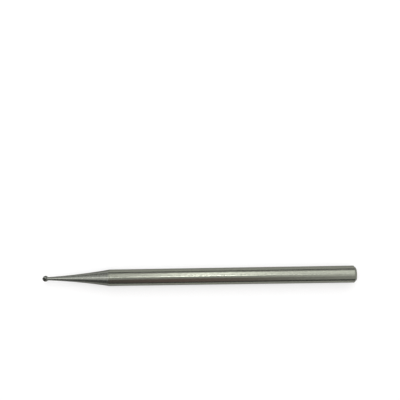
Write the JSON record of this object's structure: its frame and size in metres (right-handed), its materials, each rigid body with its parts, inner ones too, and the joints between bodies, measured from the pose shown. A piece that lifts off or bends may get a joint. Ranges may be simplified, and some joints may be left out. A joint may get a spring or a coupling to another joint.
{
  "type": "ball bur",
  "caption": "Round bur with a small fluted ball on a long hollow-tapered neck and a plain cylindrical shank for a straight handpiece.",
  "frame": {"origin": "on the axis at the shoulder, where the neck's taper meets the shank's full diameter", "axes": "+X along the axis, from the ball towards the back of the shank; a flute faces +Z at the ball's widest circle"},
  "size_m": [0.0445, 0.0024, 0.0024],
  "materials": {
    "tool_steel": "ground steel: satin on the neck, smoother on the shank, darker with open flutes on the ball"
  },
  "bodies": {
    "root": {"ball_bur": "tool_steel"}
  },
  "joints": []
}
